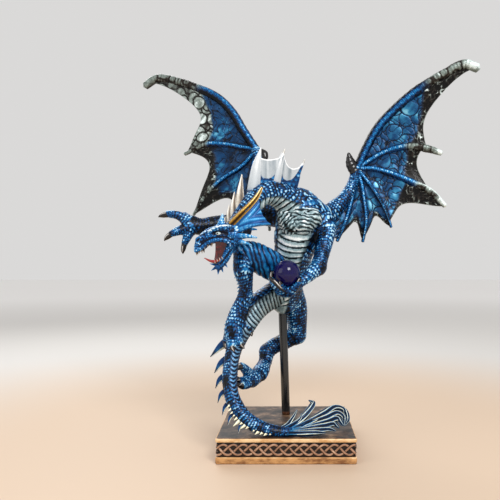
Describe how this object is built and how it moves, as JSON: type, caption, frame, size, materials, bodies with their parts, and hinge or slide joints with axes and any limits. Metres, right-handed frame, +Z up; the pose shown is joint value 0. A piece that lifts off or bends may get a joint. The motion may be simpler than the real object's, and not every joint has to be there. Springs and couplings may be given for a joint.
{
  "type": "dragon statue",
  "caption": "Painted resin figure of a winged dragon in flight, held over a square plinth by a metal rod, its tail resting on the plinth and a glass ball in one hand.",
  "frame": {"origin": "centre of the plinth's underside", "axes": "+Z up, -Y out of the dragon's chest towards a person who looks at its front, -X the way its head points"},
  "size_m": [0.2888, 0.131, 0.315],
  "materials": {
    "painted_resin": "satin royal blue paint over cast resin, darkened in the hollows, brushed pale on the scales",
    "antiqued_resin": "satin bronze and gold paint over cast resin, rubbed dark brown",
    "black_metal": "gloss black",
    "violet_glass": "polished"
  },
  "bodies": {
    "root": {"plinth": "antiqued_resin", "rod": "black_metal", "dragon": "painted_resin", "ball": "violet_glass"}
  },
  "joints": []
}
